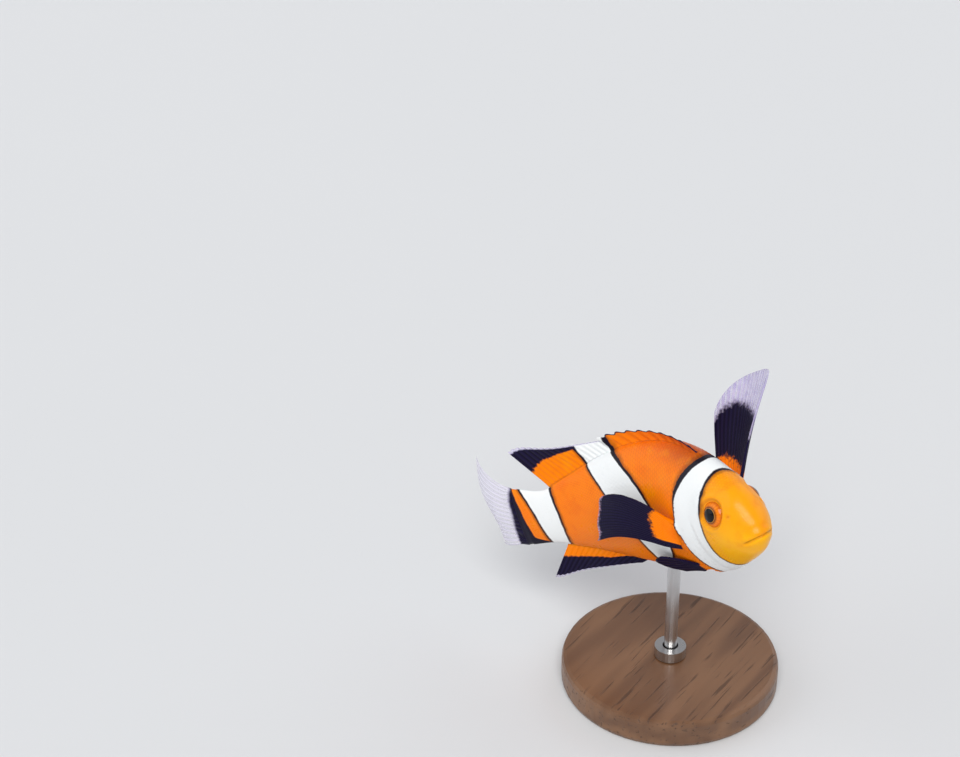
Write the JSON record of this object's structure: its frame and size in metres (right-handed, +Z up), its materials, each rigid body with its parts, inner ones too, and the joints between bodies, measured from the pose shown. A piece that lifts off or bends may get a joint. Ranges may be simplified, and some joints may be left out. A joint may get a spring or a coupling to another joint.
{
  "type": "clownfish",
  "caption": "Orange clownfish with white bars and dark-edged fins, turning nose up on a short rod over a round wooden base.",
  "frame": {"origin": "centre of the round base's underside, straight under the rod", "axes": "+Z up; +X the way the middle of the body heads; +Y the fish's left side"},
  "size_m": [0.076, 0.044, 0.071],
  "materials": {
    "orange_skin": "moist scaled skin, orange with white bars edged in black",
    "fin": "rayed membrane, orange at the root and black towards the margin",
    "eye": "clear wet cornea over a black pupil and an orange iris",
    "walnut": "oiled, fine grain",
    "steel": "brushed"
  },
  "bodies": {
    "root": {"head": "orange_skin", "trunk": "orange_skin", "tail_stalk": "orange_skin", "eye_left": "eye", "eye_right": "eye", "dorsal_fin_spiny": "fin", "dorsal_fin_soft": "fin", "anal_fin": "fin", "tail_fin": "fin", "pectoral_fin_left": "fin", "pectoral_fin_right": "fin", "pelvic_fin_left": "fin", "pelvic_fin_right": "fin", "stand_base": "walnut", "stand_collar": "steel", "stand_rod": "steel"}
  },
  "joints": []
}
